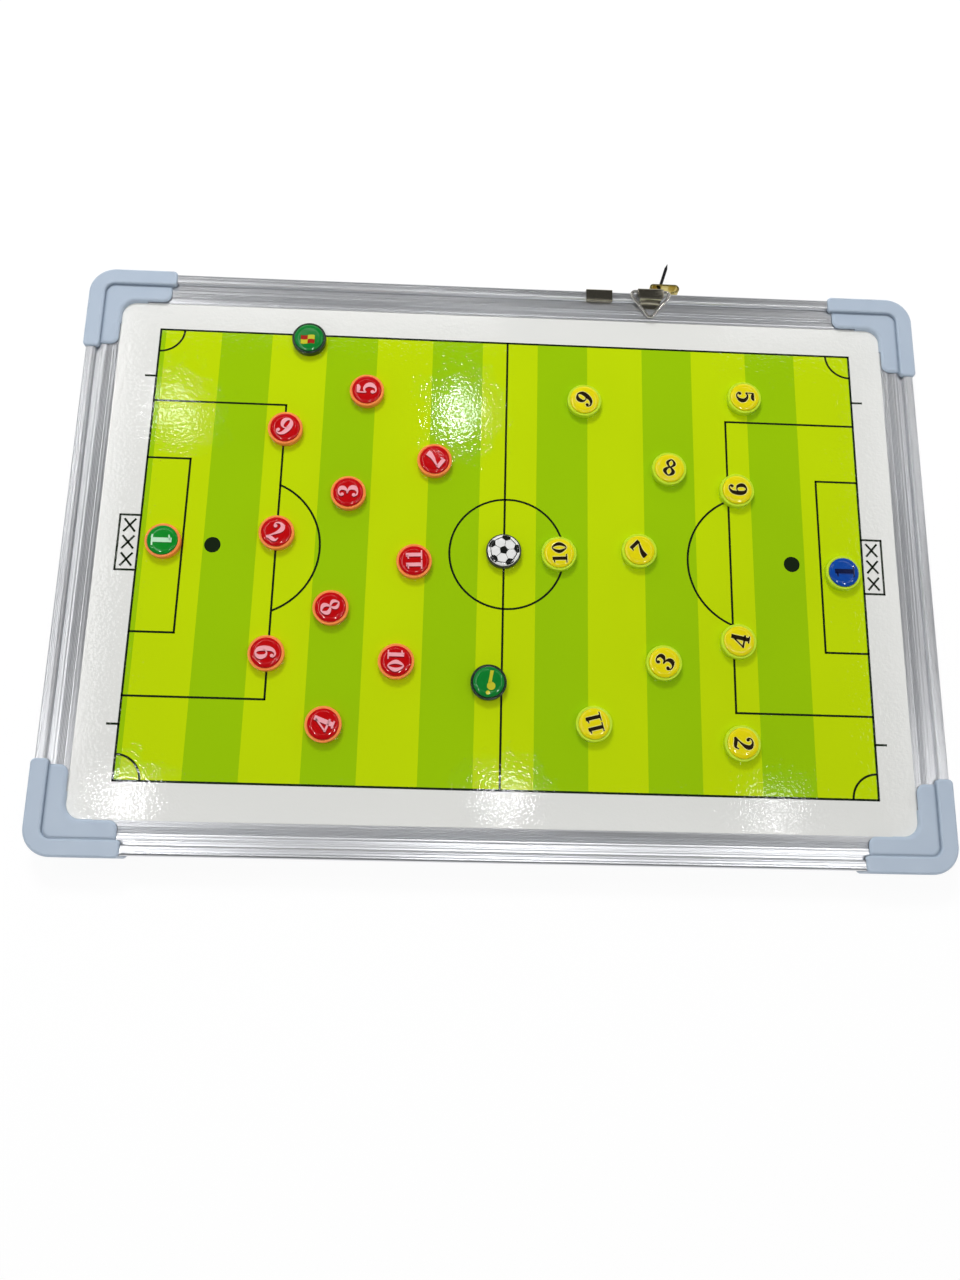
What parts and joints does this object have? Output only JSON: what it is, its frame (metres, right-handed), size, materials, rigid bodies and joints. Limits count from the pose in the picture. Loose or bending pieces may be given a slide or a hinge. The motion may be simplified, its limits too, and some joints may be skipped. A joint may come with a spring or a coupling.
{
  "type": "magnetic tactics board",
  "caption": "Framed magnetic football tactics board with a printed pitch, ribbed aluminium rails, plastic corner caps, rail clips with a hanging ring, and domed magnetic player tokens.",
  "frame": {"origin": "centre of the back sheet's outer face, with the board lying on its back", "axes": "+X along the pitch, +Y across it towards the hanger clips, +Z out of the printed face"},
  "size_m": [0.4524, 0.3355, 0.0163],
  "materials": {
    "galvanised_back": "dull zinc",
    "board_core": "raw",
    "printed_face": "glossy print",
    "rail_aluminium": "satin anodised",
    "cap_plastic": "moulded satin",
    "screw_steel": "zinc plated",
    "nickel_strip": "bright nickel",
    "nickel_wire": "bright nickel",
    "hook_brass": "bright",
    "nail_steel": "blued",
    "token_red": "clear dome",
    "token_yellow": "clear dome",
    "token_green": "clear dome",
    "token_blue": "clear dome",
    "token_ball": "clear dome",
    "token_referee": "clear dome"
  },
  "bodies": {
    "frame": {"back_sheet": "galvanised_back", "core_board": "board_core", "face_sheet": "printed_face", "rail_top": "rail_aluminium", "rail_left": "rail_aluminium", "rail_bottom": "rail_aluminium", "rail_right": "rail_aluminium", "corner_cap_bottom_left": "cap_plastic", "corner_cap_bottom_right": "cap_plastic", "corner_cap_top_right": "cap_plastic", "corner_cap_top_left": "cap_plastic", "corner_screws": "screw_steel"},
    "short_clip": {"hanger_clip_short": "nickel_strip"},
    "long_clip": {"hanger_clip_long": "nickel_strip"},
    "ring": {"hanger_ring": "nickel_wire"},
    "picture_hook": {"picture_hook": "hook_brass", "hook_nail": "nail_steel"},
    "token_red_02": {"token_red_02": "token_red"},
    "token_red_03": {"token_red_03": "token_red"},
    "token_red_04": {"token_red_04": "token_red"},
    "token_red_05": {"token_red_05": "token_red"},
    "token_red_06": {"token_red_06": "token_red"},
    "token_red_07": {"token_red_07": "token_red"},
    "token_red_08": {"token_red_08": "token_red"},
    "token_red_09": {"token_red_09": "token_red"},
    "token_red_10": {"token_red_10": "token_red"},
    "token_red_11": {"token_red_11": "token_red"},
    "token_red_keeper": {"token_red_keeper": "token_green"},
    "token_yellow_02": {"token_yellow_02": "token_yellow"},
    "token_yellow_03": {"token_yellow_03": "token_yellow"},
    "token_yellow_04": {"token_yellow_04": "token_yellow"},
    "token_yellow_05": {"token_yellow_05": "token_yellow"},
    "token_yellow_06": {"token_yellow_06": "token_yellow"},
    "token_yellow_07": {"token_yellow_07": "token_yellow"},
    "token_yellow_08": {"token_yellow_08": "token_yellow"},
    "token_yellow_09": {"token_yellow_09": "token_yellow"},
    "token_yellow_10": {"token_yellow_10": "token_yellow"},
    "token_yellow_11": {"token_yellow_11": "token_yellow"},
    "token_yellow_keeper": {"token_yellow_keeper": "token_blue"},
    "token_ball": {"token_ball": "token_ball"},
    "token_whistle": {"token_whistle": "token_referee"},
    "token_flag": {"token_flag": "token_referee"}
  },
  "joints": [
    {"name": "token_red_02_slide", "type": "slide", "parent": "frame", "child": "token_red_02", "axis": [1, 0, 0], "range_m": [-0.036, 0.028]},
    {"name": "token_red_03_slide", "type": "slide", "parent": "frame", "child": "token_red_03", "axis": [1, 0, 0], "range_m": [-0.066, 0.024]},
    {"name": "token_red_04_slide", "type": "slide", "parent": "frame", "child": "token_red_04", "axis": [0, 1, 0], "range_m": [-0.036, 0.018]},
    {"name": "token_red_05_slide", "type": "slide", "parent": "frame", "child": "token_red_05", "axis": [1, 0, 0], "range_m": [-0.064, 0.026]},
    {"name": "token_red_06_slide", "type": "slide", "parent": "frame", "child": "token_red_06", "axis": [1, 0, 0], "range_m": [-0.042, 0.02]},
    {"name": "token_red_07_slide", "type": "slide", "parent": "frame", "child": "token_red_07", "axis": [0, 1, 0], "range_m": [-0.036, 0.022]},
    {"name": "token_red_08_slide", "type": "slide", "parent": "frame", "child": "token_red_08", "axis": [1, 0, 0], "range_m": [-0.066, 0.016]},
    {"name": "token_red_09_slide", "type": "slide", "parent": "frame", "child": "token_red_09", "axis": [1, 0, 0], "range_m": [-0.046, 0.044]},
    {"name": "token_red_10_slide", "type": "slide", "parent": "frame", "child": "token_red_10", "axis": [0, 1, 0], "range_m": [-0.068, 0.018]},
    {"name": "token_red_11_slide", "type": "slide", "parent": "frame", "child": "token_red_11", "axis": [1, 0, 0], "range_m": [-0.028, 0.026]},
    {"name": "token_red_keeper_slide", "type": "slide", "parent": "frame", "child": "token_red_keeper", "axis": [0, 1, 0], "range_m": [-0.042, 0.048]},
    {"name": "token_yellow_02_slide", "type": "slide", "parent": "frame", "child": "token_yellow_02", "axis": [0, 1, 0], "range_m": [-0.032, 0.032]},
    {"name": "token_yellow_03_slide", "type": "slide", "parent": "frame", "child": "token_yellow_03", "axis": [0, 1, 0], "range_m": [-0.052, 0.038]},
    {"name": "token_yellow_04_slide", "type": "slide", "parent": "frame", "child": "token_yellow_04", "axis": [1, 0, 0], "range_m": [-0.018, 0.036]},
    {"name": "token_yellow_05_slide", "type": "slide", "parent": "frame", "child": "token_yellow_05", "axis": [1, 0, 0], "range_m": [-0.028, 0.062]},
    {"name": "token_yellow_06_slide", "type": "slide", "parent": "frame", "child": "token_yellow_06", "axis": [0, 1, 0], "range_m": [-0.058, 0.032]},
    {"name": "token_yellow_07_slide", "type": "slide", "parent": "frame", "child": "token_yellow_07", "axis": [1, 0, 0], "range_m": [-0.02, 0.032]},
    {"name": "token_yellow_08_slide", "type": "slide", "parent": "frame", "child": "token_yellow_08", "axis": [0, 1, 0], "range_m": [-0.026, 0.028]},
    {"name": "token_yellow_09_slide", "type": "slide", "parent": "frame", "child": "token_yellow_09", "axis": [1, 0, 0], "range_m": [-0.064, 0.026]},
    {"name": "token_yellow_10_slide", "type": "slide", "parent": "frame", "child": "token_yellow_10", "axis": [0, 1, 0], "range_m": [-0.04, 0.05]},
    {"name": "token_yellow_11_slide", "type": "slide", "parent": "frame", "child": "token_yellow_11", "axis": [0, 1, 0], "range_m": [-0.04, 0.038]},
    {"name": "token_yellow_keeper_slide", "type": "slide", "parent": "frame", "child": "token_yellow_keeper", "axis": [0, 1, 0], "range_m": [-0.046, 0.044]},
    {"name": "token_ball_slide", "type": "slide", "parent": "frame", "child": "token_ball", "axis": [0, 1, 0], "range_m": [-0.026, 0.064]},
    {"name": "token_whistle_slide", "type": "slide", "parent": "frame", "child": "token_whistle", "axis": [0, 1, 0], "range_m": [-0.06, 0.024]},
    {"name": "token_flag_slide", "type": "slide", "parent": "frame", "child": "token_flag", "axis": [1, 0, 0], "range_m": [-0.046, 0.044]},
    {"name": "short_clip_slide", "type": "slide", "parent": "frame", "child": "short_clip", "axis": [1, 0, 0], "range_m": [-0.21, 0.004]},
    {"name": "long_clip_slide", "type": "slide", "parent": "frame", "child": "long_clip", "axis": [1, 0, 0], "range_m": [-0.004, 0.084]},
    {"name": "ring_hinge", "type": "hinge", "parent": "long_clip", "child": "ring", "pos_m": [0.08, 0.15475, 0.01235], "axis": [-1, 0, 0], "range_deg": [0, 178]},
    {"name": "picture_hook_slide", "type": "slide", "parent": "frame", "child": "picture_hook", "axis": [0, 1, 0], "range_m": [0, 0.04]}
  ]
}
